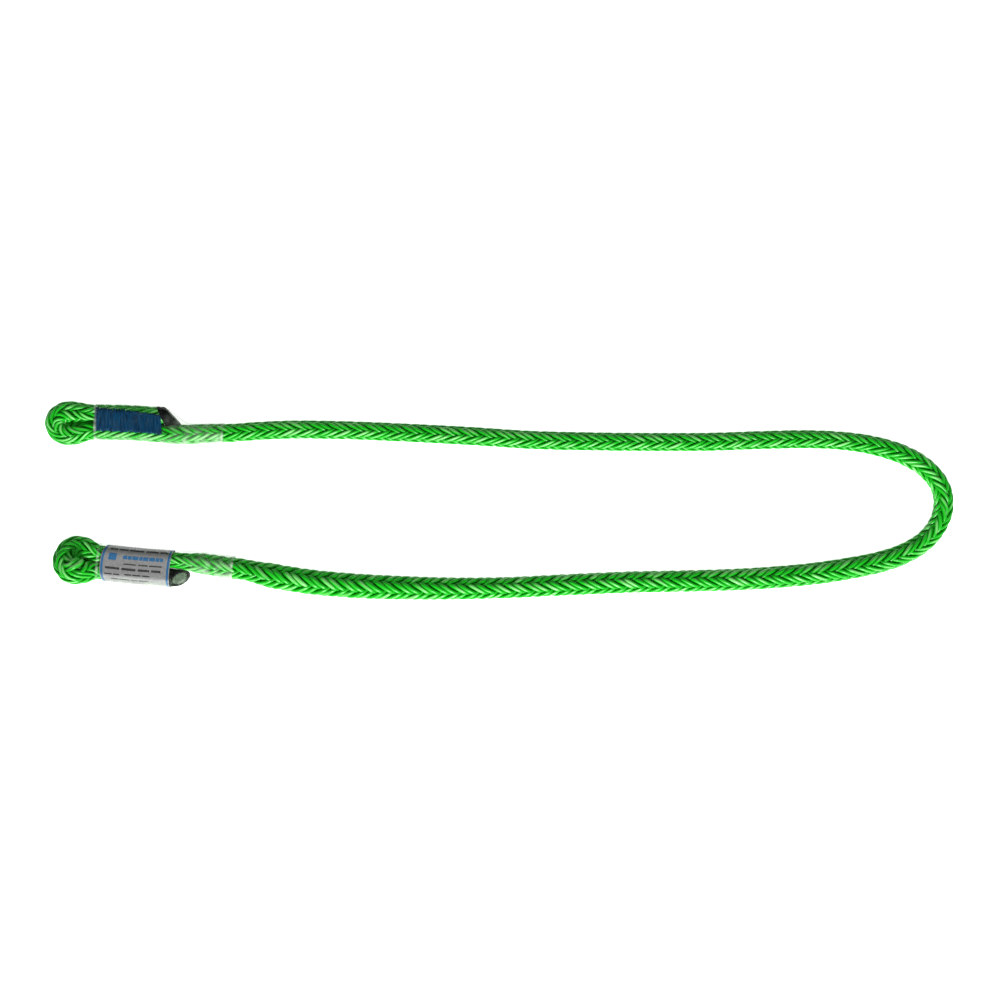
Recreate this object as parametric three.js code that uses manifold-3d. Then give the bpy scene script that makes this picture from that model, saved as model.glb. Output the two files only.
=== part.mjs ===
// Eye-and-eye friction-hitch cord, lying in a flat U on a bench.
// One 12-strand braided rope has each end turned back into a tight eye. The two runs beside
// each eye are sewn together, the tail is bound with tape and cut on a slant, and a clear
// shrink sleeve covers the sewing. End B also has a printed film label under its sleeve.
// Millimetres. X runs along the cord, Y across the U, Z up. The origin is on the bench, under
// the middle of the cord's footprint. The rope is drawn as stretches that hinge on each other
// where it bends most and where it leaves each stiff sewn end.
import * as THREE from 'three';
import { LoftGeometry } from 'three/addons/geometries/LoftGeometry.js';
import { mergeVertices } from 'three/addons/utils/BufferGeometryUtils.js';
import Module from 'manifold-3d';

const wasm = await Module();
wasm.setup();

// ---- Driving dimensions ----

const CLEARANCE = 0.3; // between pieces that touch
const THREAD_CLEARANCE = 0.25; // between thread, film and rope, which press on each other
const FILM = 0.35; // wall of the shrink sleeve
const TAPE = 0.3; // wall of the tape binding
const LABEL = 0.25; // printed film
const THREAD = 0.4; // depth of the sewn rows on each face

const SIDES = 12; // flats round a rope stretch, one of them facing down
const FLAT_ANGLE = Math.PI / SIDES;
const LEG_STEPS = 22;
const BEND_STEPS = 13;
const BALL = { around: 20, down: 14 }; // facets of the balls at the bend's ends

const LEG_A_RADIUS = 4.6; // the braid is drawn out and slim on leg A
const BEND_RADIUS = 5.1;
const LEG_B_RADIUS = 5.5; // and slack and full on leg B

// The free rope's centre line, from the neck of end A round the bend to the neck of end B.
const ROUTE = [
  [-137.0, 34.5], [-129.0, 35.2], [-108.5, 36.2], [-77.5, 35.8], [-46.0, 34.5], [-15.0, 32.9],
  [16.0, 30.9], [47.0, 30.1], [78.5, 29.8], [109.5, 29.9], [140.5, 30.9], [161.5, 31.2],
  [182.0, 30.0], [197.5, 27.2], [210.5, 22.8], [221.0, 16.5], [228.5, 7.5], [230.7, -2.0],
  [228.5, -11.5], [221.5, -21.0], [210.5, -28.0], [197.5, -32.5], [182.0, -35.7], [161.5, -38.7],
  [130.5, -41.2], [99.0, -42.3], [68.0, -42.9], [37.0, -44.2], [5.5, -45.7], [-25.5, -46.2],
  [-56.5, -45.6], [-77.5, -44.6], [-98.0, -42.7], [-113.5, -40.3], [-124.0, -38.2], [-132.0, -36.3],
];
const HINGE_POINT_A = ROUTE[14]; // where leg A turns into the bend
const HINGE_POINT_B = ROUTE[20]; // and where leg B does
const SETTLE = 30; // length over which the rope comes down from a sewn end to the bench

// Each sewn end is drawn along its own axis u, which is 0 at the neck and negative towards the
// eye. v runs across the two rope runs, with the main run at 0 and the tail on the + side.
// w is up from the middle of the runs.
const END_A = {
  name: 'a',
  angle: -0.8, // degrees, from +X
  mirrored: false, // the tail lies on the +Y side
  neckRadius: LEG_A_RADIUS,
  runRadius: 4.35, // rope radius where it is sewn
  eyeRadius: 4.5,
  halfGap: 4.55, // half the distance between the runs' centres
  eyeHalfWidth: 7.0,
  crownLength: 8.2,
  crownCentre: -86.1,
  runsMeet: -73.2,
  eyeTilt: 0,
  eyeLift: -0.9,
  sleeveStart: -72.8,
  sewing: [-71.6, -41.2],
  tailEnd: -31.9,
  cutSlope: [-0.95, 0], // how the cut leans across v and up w
  tapeStart: -38.2,
  tapeSlope: -0.48,
  sleeveLateral: 4.8, // sleeve's inner radius beside the runs
  sleeveHeight: 5.25, // and above them
  label: null,
};

const END_B = {
  name: 'b',
  angle: -6.3,
  mirrored: true, // the tail lies on the -Y side
  neckRadius: LEG_B_RADIUS,
  runRadius: 3.95,
  eyeRadius: 5.0,
  halfGap: 4.15,
  eyeHalfWidth: 8.4,
  crownLength: 7.7,
  crownCentre: -87.5,
  runsMeet: -76.2,
  eyeTilt: 22, // degrees: the tail side of the eye is turned up
  eyeLift: 2.75,
  sleeveStart: -75.8,
  sewing: [-72.5, -43],
  tailEnd: -32.6,
  cutSlope: [-0.5, -0.9],
  tapeStart: -40.6,
  tapeSlope: -0.4,
  sleeveLateral: 4.9,
  sleeveHeight: 5.35,
  label: { from: -73.8, to: -37.4, seam: 1.6 },
};

const EASE = 0.45; // how far the curves into the eye keep their first direction
const EYE_STEPS = { side: 6, crown: 11 };
const TAPE_EDGE = 1.2; // length over which the rope stands out again past the tape
const SQUARE_AFTER = 8; // distance past the tape where the slanted rings have come square

const THREAD_INSET = 1.0; // the rows start this far from the main run's middle
const THREAD_WRAP = 24; // degrees that the rows reach down the tail's shoulder

const MOUTH = -5.5; // the sleeve stops this far before the neck, so that the neck can flex
const TAPER = { from: -35.8, to: -20.5 }; // the sleeve narrows from two runs to one
const SWELL = { from: -28, to: -15 }; // the main run fills out again past the tail

const FINISHES = {
  rope: { color: 0x1fb51f, roughness: 0.7 },
  thread: { color: 0x16335e, roughness: 0.5 },
  tape: { color: 0x101010, roughness: 0.45 },
  sleeve: { color: 0xdfe8e0, roughness: 0.2, transparent: true, opacity: 0.3 },
  label: { color: 0xb4b6b8, roughness: 0.35 },
};

const WELD_DISTANCE = 1e-4;

// ---- Shared geometry helpers ----

const smooth = (t) => {
  const x = Math.min(1, Math.max(0, t));
  return x * x * (3 - 2 * x);
};

// Keeps positions only and shares the vertices that meet.
function weld(geometry) {
  const plain = new THREE.BufferGeometry();
  plain.setAttribute('position', geometry.attributes.position);
  plain.setIndex(geometry.index);
  return mergeVertices(plain, WELD_DISTANCE);
}

function toManifold(geometry) {
  const welded = weld(geometry);
  return new wasm.Manifold(new wasm.Mesh({
    numProp: 3,
    vertProperties: new Float32Array(welded.attributes.position.array),
    triVerts: new Uint32Array(welded.index.array),
  }));
}

function toGeometry(manifold) {
  const mesh = manifold.getMesh();
  const geometry = new THREE.BufferGeometry();
  geometry.setAttribute('position', new THREE.BufferAttribute(mesh.vertProperties, 3));
  geometry.setIndex(new THREE.BufferAttribute(mesh.triVerts, 1));
  return geometry;
}

// Reflects a welded body across the XZ plane and turns its faces out again.
function mirror(geometry) {
  geometry.scale(1, -1, 1);
  const index = geometry.index;
  for (let i = 0; i < index.count; i += 3) {
    const kept = index.getX(i);
    index.setX(i, index.getX(i + 1));
    index.setX(i + 1, kept);
  }
  return geometry;
}

function meshOf(name, geometry, finish) {
  geometry.computeVertexNormals();
  const mesh = new THREE.Mesh(geometry, new THREE.MeshStandardMaterial({ ...finish, metalness: 0 }));
  mesh.name = name;
  return mesh;
}

// ---- Free rope ----

const STEPS_PER_SPAN = 60;
const routePoints = ROUTE.map(([x, y]) => new THREE.Vector3(x, y, 0));
const route = new THREE.CatmullRomCurve3(routePoints, false, 'centripetal');
route.arcLengthDivisions = STEPS_PER_SPAN * (ROUTE.length - 1);
const ROUTE_LENGTH = route.getLength();

// Arc length from the route's start to one of its points.
const lengthTo = (point) => route.getLengths()[STEPS_PER_SPAN * ROUTE.indexOf(point)];
const HINGE_A = lengthTo(HINGE_POINT_A);
const HINGE_B = lengthTo(HINGE_POINT_B);

// A stretch of the route between two arc lengths, at a height that settles from one to another.
class Stretch extends THREE.Curve {
  constructor(from, to, heightAt) {
    super();
    this.from = from;
    this.to = to;
    this.heightAt = heightAt;
  }

  getPoint(t, target = new THREE.Vector3()) {
    const length = this.from + (this.to - this.from) * t;
    route.getPointAt(length / ROUTE_LENGTH, target);
    target.z = this.heightAt(length);
    return target;
  }
}

// A regular polygon whose flats lie at the stated radius.
function ropeSection(radius) {
  const corner = radius / Math.cos(FLAT_ANGLE);
  const points = [];
  for (let i = 0; i < SIDES; i += 1) {
    const angle = FLAT_ANGLE * (2 * i + 1);
    points.push(new THREE.Vector2(corner * Math.cos(angle), corner * Math.sin(angle)));
  }
  return new THREE.Shape(points);
}

function ropeTube(from, to, radius, steps, heightAt) {
  return new THREE.ExtrudeGeometry(ropeSection(radius), {
    steps,
    bevelEnabled: false,
    extrudePath: new Stretch(from, to, heightAt),
  });
}

// Height of a sewn end's axis: its sleeve, at its deepest, rests on the bench.
function axisHeight(end) {
  const overRuns = end.sleeveHeight + (end.label ? LABEL + THREAD_CLEARANCE : 0);
  return Math.max(overRuns, end.neckRadius + CLEARANCE) + FILM;
}

function legA() {
  const start = END_A.neckRadius + CLEARANCE;
  const end = HINGE_A - BEND_RADIUS - CLEARANCE;
  const above = axisHeight(END_A) - LEG_A_RADIUS;
  const heightAt = (length) => LEG_A_RADIUS + above * (1 - smooth(length / SETTLE));
  return weld(ropeTube(start, end, LEG_A_RADIUS, LEG_STEPS, heightAt));
}

function legB() {
  const start = HINGE_B + BEND_RADIUS + CLEARANCE;
  const end = ROUTE_LENGTH - END_B.neckRadius - CLEARANCE;
  const above = axisHeight(END_B) - LEG_B_RADIUS;
  const heightAt = (length) => LEG_B_RADIUS + above * (1 - smooth((ROUTE_LENGTH - length) / SETTLE));
  return weld(ropeTube(start, end, LEG_B_RADIUS, LEG_STEPS, heightAt));
}

// The bend has a ball at each end, centred where the legs hinge.
function bend() {
  const tube = toManifold(ropeTube(HINGE_A, HINGE_B, BEND_RADIUS, BEND_STEPS, () => BEND_RADIUS));
  const joined = [HINGE_POINT_A, HINGE_POINT_B].reduce((solid, [x, y]) => {
    const ball = new THREE.SphereGeometry(BEND_RADIUS, BALL.around, BALL.down);
    ball.translate(x, y, BEND_RADIUS);
    return solid.add(toManifold(ball));
  }, tube);
  return toGeometry(joined);
}

// ---- Sewn ends ----

// One cross-section of the turned rope, square to its run and leaning by slope at a cut.
function ring(u, v, along, radius, slope = [0, 0]) {
  const across = new THREE.Vector2(-along.y, along.x);
  const corner = radius / Math.cos(FLAT_ANGLE);
  const points = [];
  for (let i = 0; i < SIDES; i += 1) {
    const angle = FLAT_ANGLE * (2 * i + 1);
    const side = corner * Math.cos(angle);
    const w = corner * Math.sin(angle);
    const lean = slope[0] * across.y * side + slope[1] * w;
    points.push(new THREE.Vector3(u + across.x * side + lean, v + across.y * side, w));
  }
  return points;
}

// Turns and lifts the eye gradually, from flat where the runs meet to fully tilted at the crown.
function tiltEye(end, point) {
  const share = smooth((end.runsMeet - point.x) / (end.runsMeet - end.crownCentre));
  const angle = THREE.MathUtils.degToRad(end.eyeTilt) * share;
  const v = point.y - end.halfGap;
  const w = point.z;
  return new THREE.Vector3(
    point.x,
    end.halfGap + v * Math.cos(angle) - w * Math.sin(angle),
    v * Math.sin(angle) + w * Math.cos(angle) + end.eyeLift * share,
  );
}

// The rope from its cut tail, along the sewing, round the eye and back to the neck.
function eyeRope(end) {
  const { halfGap: middle, eyeHalfWidth, crownCentre, runsMeet, crownLength } = end;
  const boundRadius = end.runRadius - TAPE - THREAD_CLEARANCE;
  const sections = [];

  // bound tail, then the sewn tail run
  const back = new THREE.Vector2(-1, 0);
  const tail = 2 * middle;
  sections.push(ring(end.tailEnd, tail, back, boundRadius, end.cutSlope));
  sections.push(ring(end.tapeStart, tail, back, boundRadius, [end.tapeSlope, 0]));
  sections.push(ring(end.tapeStart - TAPE_EDGE, tail, back, end.runRadius, [end.tapeSlope, 0]));
  sections.push(ring(end.tapeStart - SQUARE_AFTER, tail, back, end.runRadius));
  sections.push(ring((end.tapeStart + runsMeet) / 2, tail, back, end.runRadius));

  // eye: out along an easy curve, round an elliptical crown and in again
  const pull = EASE * (runsMeet - crownCentre);
  const outward = new THREE.CubicBezierCurve(
    new THREE.Vector2(runsMeet, tail),
    new THREE.Vector2(runsMeet - pull, tail),
    new THREE.Vector2(crownCentre + pull, middle + eyeHalfWidth),
    new THREE.Vector2(crownCentre, middle + eyeHalfWidth),
  );
  const [quarterTurn, threeQuarters] = [Math.PI / 2, 1.5 * Math.PI];
  const crown = new THREE.EllipseCurve(
    crownCentre, middle, crownLength, eyeHalfWidth, quarterTurn, threeQuarters,
  );
  const inward = new THREE.CubicBezierCurve(
    new THREE.Vector2(crownCentre, middle - eyeHalfWidth),
    new THREE.Vector2(crownCentre + pull, middle - eyeHalfWidth),
    new THREE.Vector2(runsMeet - pull, 0),
    new THREE.Vector2(runsMeet, 0),
  );
  const curves = [[outward, EYE_STEPS.side], [crown, EYE_STEPS.crown], [inward, EYE_STEPS.side]];
  for (const [curve, steps] of curves) {
    for (let i = curve === outward ? 0 : 1; i <= steps; i += 1) {
      const t = i / steps;
      const place = curve.getPoint(t);
      const share = smooth((runsMeet - place.x) / (runsMeet - crownCentre));
      const radius = end.runRadius + (end.eyeRadius - end.runRadius) * share;
      sections.push(ring(place.x, place.y, curve.getTangent(t), radius));
    }
  }

  // main run, full again past the tail, ending in a ball at the neck
  const forward = new THREE.Vector2(1, 0);
  sections.push(ring(SWELL.from, 0, forward, end.runRadius));
  sections.push(ring(SWELL.to, 0, forward, end.neckRadius));
  sections.push(ring(0, 0, forward, end.neckRadius));
  const ballSteps = 5;
  for (let i = 1; i < ballSteps; i += 1) {
    const angle = (i / ballSteps) * (Math.PI / 2);
    const radius = end.neckRadius * Math.cos(angle) * Math.cos(FLAT_ANGLE);
    sections.push(ring(end.neckRadius * Math.sin(angle), 0, forward, radius));
  }

  const turned = sections.map((points) => points.map((point) => tiltEye(end, point)));
  return weld(new LoftGeometry(turned, { capStart: true, capEnd: true }));
}

// A ring round both runs: a stadium whose main cap stays and whose tail cap moves in by share.
function stadium(end, u, lateral, height, share) {
  const turns = 28;
  const points = [];
  for (let i = 0; i < turns; i += 1) {
    const angle = ((i + 0.5) / turns) * 2 * Math.PI;
    const centre = Math.cos(angle) > 0 ? 2 * end.halfGap * share : 0;
    points.push(new THREE.Vector3(u, centre + lateral * Math.cos(angle), height * Math.sin(angle)));
  }
  return points;
}

// Clear shrink sleeve, open at both ends.
function shrinkSleeve(end) {
  const filmRoom = end.label ? LABEL + THREAD_CLEARANCE : 0;
  const single = end.neckRadius + CLEARANCE;
  const places = [end.sleeveStart, (end.sleeveStart + TAPER.from) / 2];
  const taperSteps = 7;
  for (let i = 0; i <= taperSteps; i += 1) {
    places.push(TAPER.from + (TAPER.to - TAPER.from) * (i / taperSteps));
  }
  places.push(MOUTH);
  const skin = (u, wall) => {
    const share = 1 - smooth((u - TAPER.from) / (TAPER.to - TAPER.from));
    const lateral = single + (end.sleeveLateral + filmRoom - single) * share + wall;
    const height = single + (end.sleeveHeight + filmRoom - single) * share + wall;
    return stadium(end, u, lateral, height, share);
  };
  const outer = places.map((u) => skin(u, FILM));
  const inner = places.map((u) => skin(u, 0)).reverse();
  return weld(new LoftGeometry([...outer, ...inner, outer[0]]));
}

// Tape bound round the tail, cut off on the slant with it.
function tailTape(end) {
  const back = new THREE.Vector2(-1, 0);
  const tail = 2 * end.halfGap;
  const outer = end.runRadius;
  const inner = end.runRadius - TAPE;
  const cut = (radius) => ring(end.tailEnd, tail, back, radius, end.cutSlope);
  const start = (radius) => ring(end.tapeStart, tail, back, radius, [end.tapeSlope, 0]);
  return weld(new LoftGeometry([cut(outer), start(outer), start(inner), cut(inner), cut(outer)]));
}

// Lays a closed outline across v and w out along u.
function alongEnd(outline, from, to) {
  const settings = { depth: to - from, bevelEnabled: false };
  const geometry = new THREE.ExtrudeGeometry(new THREE.Shape(outline), settings);
  geometry.translate(0, 0, from);
  const turn = new THREE.Matrix4().makeBasis(
    new THREE.Vector3(0, 1, 0),
    new THREE.Vector3(0, 0, 1),
    new THREE.Vector3(1, 0, 0),
  );
  return weld(geometry.applyMatrix4(turn));
}

// The rows of thread on one face: a strip that bridges the valley between the runs and
// follows the tail's shoulder. face is +1 on top and -1 underneath.
function threadRows(end, face) {
  const [from, to] = end.sewing;
  const low = end.runRadius + THREAD_CLEARANCE;
  const high = low + THREAD;
  const tail = 2 * end.halfGap;
  const shoulder = THREE.MathUtils.degToRad(THREAD_WRAP);
  const arcSteps = 5;
  const arc = (radius) => {
    const points = [];
    for (let i = 0; i <= arcSteps; i += 1) {
      const angle = Math.PI / 2 - shoulder * (i / arcSteps);
      points.push(new THREE.Vector2(tail + radius * Math.cos(angle), face * radius * Math.sin(angle)));
    }
    return points;
  };
  const outline = [
    new THREE.Vector2(THREAD_INSET, face * low),
    ...arc(low),
    ...arc(high).reverse(),
    new THREE.Vector2(THREAD_INSET, face * high),
  ];
  return alongEnd(outline, from, to);
}

// The printed film: a band round both runs whose edges almost meet underneath.
function filmLabel(end) {
  const { from, to, seam } = end.label;
  const capSteps = 12;
  const band = (extra) => {
    const lateral = end.sleeveLateral - THREAD_CLEARANCE + extra;
    const height = end.sleeveHeight - THREAD_CLEARANCE + extra;
    const points = [new THREE.Vector2(end.halfGap + seam / 2, -height)];
    for (const [centre, firstAngle] of [[2 * end.halfGap, -Math.PI / 2], [0, Math.PI / 2]]) {
      for (let i = 0; i <= capSteps; i += 1) {
        const angle = firstAngle + Math.PI * (i / capSteps);
        points.push(new THREE.Vector2(centre + lateral * Math.cos(angle), height * Math.sin(angle)));
      }
    }
    points.push(new THREE.Vector2(end.halfGap - seam / 2, -height));
    return points;
  };
  return alongEnd([...band(LABEL), ...band(0).reverse()], from, to);
}

// All the pieces of one sewn end, placed with its neck on the rope's route.
function sewnEnd(end, [x, y]) {
  const placed = new THREE.Group();
  const shaped = (geometry) => (end.mirrored ? mirror(geometry) : geometry);
  const { rope, thread, tape, sleeve, label } = FINISHES;
  placed.add(meshOf(`eye_${end.name}_rope`, shaped(eyeRope(end)), rope));
  placed.add(meshOf(`needle_thread_${end.name}`, shaped(threadRows(end, 1)), thread));
  placed.add(meshOf(`bobbin_thread_${end.name}`, shaped(threadRows(end, -1)), thread));
  placed.add(meshOf(`tail_tape_${end.name}`, shaped(tailTape(end)), tape));
  placed.add(meshOf(`shrink_sleeve_${end.name}`, shaped(shrinkSleeve(end)), sleeve));
  if (end.label) {
    placed.add(meshOf(`film_label_${end.name}`, shaped(filmLabel(end)), label));
  }
  placed.position.set(x, y, axisHeight(end));
  placed.rotation.z = THREE.MathUtils.degToRad(end.angle);
  return placed;
}

// ---- The cord ----

const group = new THREE.Group();
group.add(sewnEnd(END_A, ROUTE[0]));
group.add(meshOf('leg_a_rope', legA(), FINISHES.rope));
group.add(meshOf('bend_rope', bend(), FINISHES.rope));
group.add(meshOf('leg_b_rope', legB(), FINISHES.rope));
group.add(sewnEnd(END_B, ROUTE[ROUTE.length - 1]));

export default group;
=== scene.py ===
# Looks for the eye-and-eye hitch cord: a real twelve-strand braid laid along the cord's route,
# with its sewing, tape, clear shrink sleeves and film label. Metres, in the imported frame.
import math

import bpy
import numpy as np
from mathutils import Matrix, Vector


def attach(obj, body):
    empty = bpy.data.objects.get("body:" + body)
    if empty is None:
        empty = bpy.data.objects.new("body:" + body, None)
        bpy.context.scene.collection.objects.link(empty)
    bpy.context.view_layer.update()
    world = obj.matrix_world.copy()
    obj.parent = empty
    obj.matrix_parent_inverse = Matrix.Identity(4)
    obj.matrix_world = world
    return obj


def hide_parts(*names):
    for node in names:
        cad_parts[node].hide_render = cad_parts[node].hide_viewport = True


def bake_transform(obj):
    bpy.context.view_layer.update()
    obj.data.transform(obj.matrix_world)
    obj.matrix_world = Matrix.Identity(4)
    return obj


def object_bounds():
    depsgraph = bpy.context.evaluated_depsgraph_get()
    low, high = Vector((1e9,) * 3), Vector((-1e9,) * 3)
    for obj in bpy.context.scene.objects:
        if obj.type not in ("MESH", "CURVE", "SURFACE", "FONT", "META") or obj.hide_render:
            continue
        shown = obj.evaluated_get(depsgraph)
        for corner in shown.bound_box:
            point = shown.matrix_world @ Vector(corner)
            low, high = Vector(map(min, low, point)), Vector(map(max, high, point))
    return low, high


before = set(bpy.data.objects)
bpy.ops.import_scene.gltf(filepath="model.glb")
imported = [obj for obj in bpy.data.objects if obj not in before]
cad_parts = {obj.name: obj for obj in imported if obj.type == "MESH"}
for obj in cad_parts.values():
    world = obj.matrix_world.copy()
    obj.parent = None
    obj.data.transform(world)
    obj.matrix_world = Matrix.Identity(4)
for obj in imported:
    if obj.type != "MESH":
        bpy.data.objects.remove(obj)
CAD_LOW, CAD_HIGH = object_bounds()

MM = 0.001

# ---- Camera ----

VIEW_WIDTH = 519 * MM  # what the picture spans at the height of the cord
CAMERA_HEIGHT = 1.1
SENSOR = 36.0
ROPE_HEIGHT = 5 * MM
VIEW_OFFSET = Vector((0.5 * MM, -0.3 * MM, 0))  # from over the middle of the cord's footprint


def camera():
    data = bpy.data.cameras.new("camera")
    data.sensor_width = SENSOR
    data.lens = SENSOR * (CAMERA_HEIGHT - ROPE_HEIGHT) / VIEW_WIDTH
    data.clip_start = 0.05
    made = bpy.data.objects.new("camera", data)
    bpy.context.scene.collection.objects.link(made)
    aim = (CAD_LOW + CAD_HIGH) / 2 + VIEW_OFFSET
    made.location = (aim.x, aim.y, CAMERA_HEIGHT)
    bpy.context.scene.camera = made


camera()

# ---- The cord's route and sewn ends, as in the CAD model ----

ROUTE = MM * np.array([
    (-137.0, 34.5), (-129.0, 35.2), (-108.5, 36.2), (-77.5, 35.8), (-46.0, 34.5), (-15.0, 32.9),
    (16.0, 30.9), (47.0, 30.1), (78.5, 29.8), (109.5, 29.9), (140.5, 30.9), (161.5, 31.2),
    (182.0, 30.0), (197.5, 27.2), (210.5, 22.8), (221.0, 16.5), (228.5, 7.5), (230.7, -2.0),
    (228.5, -11.5), (221.5, -21.0), (210.5, -28.0), (197.5, -32.5), (182.0, -35.7), (161.5, -38.7),
    (130.5, -41.2), (99.0, -42.3), (68.0, -42.9), (37.0, -44.2), (5.5, -45.7), (-25.5, -46.2),
    (-56.5, -45.6), (-77.5, -44.6), (-98.0, -42.7), (-113.5, -40.3), (-124.0, -38.2), (-132.0, -36.3),
])
PER_SPAN = 60  # samples of the curve between two of the route's points
APEX = 17  # the route's point at the far end of the bend
HINGE_A = 14
HINGE_B = 20
MIDDLE_A = 6  # the points half way along the legs, where one piece of braid meets the next
MIDDLE_B = 28

LEG_A_RADIUS = 4.6 * MM
BEND_RADIUS = 5.1 * MM
LEG_B_RADIUS = 5.5 * MM
FULLNESS = 1.06  # the outline dips between the braid's crests, so the crests go past the radius
GROW_LENGTH = 60 * MM  # over which the rope goes from one radius to the next
GROW_BEFORE_A = 40 * MM  # how far before each of the bend's hinges that starts
GROW_BEFORE_B = 20 * MM
SLACK_B = 0.18  # extra fullness of leg B near its neck
SLACK_STARTS, SLACK_FULL = 140 * MM, 50 * MM  # where it comes in, as distances from the neck
SLACK_ENDS, SLACK_GONE = 16 * MM, 2 * MM  # and where the sleeve's mouth takes it away
SETTLE = 30 * MM  # length over which the rope comes down from a sewn end to the bench

# Lengths along a sewn end are from its neck, negative towards the eye.
END_A = {
    "name": "a", "body": "end_a", "angle": -0.8, "side": 1, "axis_height": 5.6 * MM,
    "neck_radius": FULLNESS * LEG_A_RADIUS, "full_radius": 5.2 * MM, "run_radius": 4.65 * MM,
    "half_gap": 4.6 * MM, "swell": (-42 * MM, -30 * MM), "sag": (1.2 * MM, -30 * MM, 30 * MM),
    "eye_radius": 4.6 * MM, "eye_half_width": 7.0 * MM, "crown_length": 8.2 * MM,
    "crown_centre": -86.1 * MM, "runs_meet": -73.2 * MM, "tilt": 0.0, "lift": -0.9 * MM,
    "drop": 0.8 * MM, "filled": 1.3, "sewing": (-71.9 * MM, -36.9 * MM), "thread_wrap": (32, -3),
    "tail_end": -31.9 * MM, "cut_slope": (-0.95, 0.0), "cut_share": 0.86,
    "tape_start": -38.2 * MM, "tape_slope": -0.48,
    "sleeve_start": -72.4 * MM, "taper": (-37.5 * MM, -22.2 * MM), "mouth_room": 0.25 * MM,
    "beside_runs": 0.12 * MM, "above_runs": 0.75 * MM,
}
END_B = {
    "name": "b", "body": "end_b", "angle": -6.3, "side": -1, "axis_height": 6.2 * MM,
    "neck_radius": FULLNESS * LEG_B_RADIUS, "full_radius": 5.8 * MM, "run_radius": 4.45 * MM,
    "half_gap": 4.5 * MM, "swell": (-34 * MM, -20 * MM), "sag": (0.75 * MM, -32 * MM, 30 * MM),
    "eye_radius": 5.0 * MM, "eye_half_width": 8.4 * MM, "crown_length": 7.5 * MM,
    "crown_centre": -86.4 * MM, "runs_meet": -74.2 * MM, "tilt": 22.0, "lift": 2.75 * MM,
    "drop": 0.0, "filled": 1.6, "sewing": (-70.0 * MM, -43.0 * MM), "thread_wrap": (24, 10),
    "tail_end": -32.6 * MM, "cut_slope": (-0.5, -0.9), "cut_share": 0.72,
    "tape_start": -40.6 * MM, "tape_slope": -0.4,
    "sleeve_start": -76.0 * MM, "taper": (-34.5 * MM, -19.5 * MM), "mouth_room": 0.4 * MM,
    "beside_runs": 0.8 * MM, "above_runs": 0.85 * MM,
}
MOUTH = -5.5 * MM  # the sleeves' ends at the necks
STEP = 0.5 * MM  # spacing of the finished centre line

EASE = 0.45  # how far the curves into an eye keep their first direction
NECK_EASE_FROM = -20 * MM  # where the rope starts to take its radius at the neck
NECK_EASE_LENGTH = 14 * MM
HOLLOW = 0.4  # how much less the yarns swell inwards at the tip of an eye
HOLLOW_SPREAD = 1.5  # and how quickly that comes in towards the tip
PRESSED = 0.4 * MM  # how far facing yarns press into each other


def sag(end, u):
    """How far the end bows away from its tail's side. sag holds its depth, its place and its reach."""
    depth, place, reach = end["sag"]
    return depth * np.cos(np.clip((u - place) / reach, -1, 1) * math.pi / 2) ** 2


def smooth(t):
    x = np.clip(t, 0, 1)
    return x * x * (3 - 2 * x)


def catmull(points):
    """Centripetal Catmull-Rom curve through 2-D points, as three.js draws it."""
    ends = np.vstack([2 * points[0] - points[1], points, 2 * points[-1] - points[-2]])
    found = []
    for p0, p1, p2, p3 in zip(ends, ends[1:], ends[2:], ends[3:]):
        d0, d1, d2 = (math.sqrt(np.linalg.norm(b - a)) for a, b in ((p0, p1), (p1, p2), (p2, p3)))
        out = ((p1 - p0) / d0 - (p2 - p0) / (d0 + d1) + (p2 - p1) / d1) * d1
        into = ((p2 - p1) / d1 - (p3 - p1) / (d1 + d2) + (p3 - p2) / d2) * d1
        t = np.linspace(0, 1, PER_SPAN, endpoint=False)[:, None]
        found.append(
            p1 * (2 * t**3 - 3 * t**2 + 1) + out * (t**3 - 2 * t**2 + t)
            + p2 * (3 * t**2 - 2 * t**3) + into * (t**3 - t**2)
        )
    return np.vstack([*found, points[-1:]])


def bezier(a, b, c, d, count=24):
    t = np.linspace(0, 1, count)[:, None]
    a, b, c, d = (np.array(p) for p in (a, b, c, d))
    return (1 - t)**3 * a + 3 * t * (1 - t)**2 * b + 3 * t**2 * (1 - t) * c + t**3 * d


def end_frame(end):
    """Origin and the axes u, v and w of a sewn end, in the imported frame."""
    neck = ROUTE[0] if end["side"] > 0 else ROUTE[-1]
    angle = math.radians(end["angle"])
    along = np.array([math.cos(angle), math.sin(angle), 0])
    across = end["side"] * np.array([-math.sin(angle), math.cos(angle), 0])
    return np.array([*neck, end["axis_height"]]), along, across


def to_world(end, local):
    origin, along, across = end_frame(end)
    local = np.atleast_2d(local)
    up = np.array([0, 0, 1])
    v = local[:, 1:2] - sag(end, local[:, :1])
    return origin + local[:, :1] * along + v * across + local[:, 2:3] * up


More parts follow.
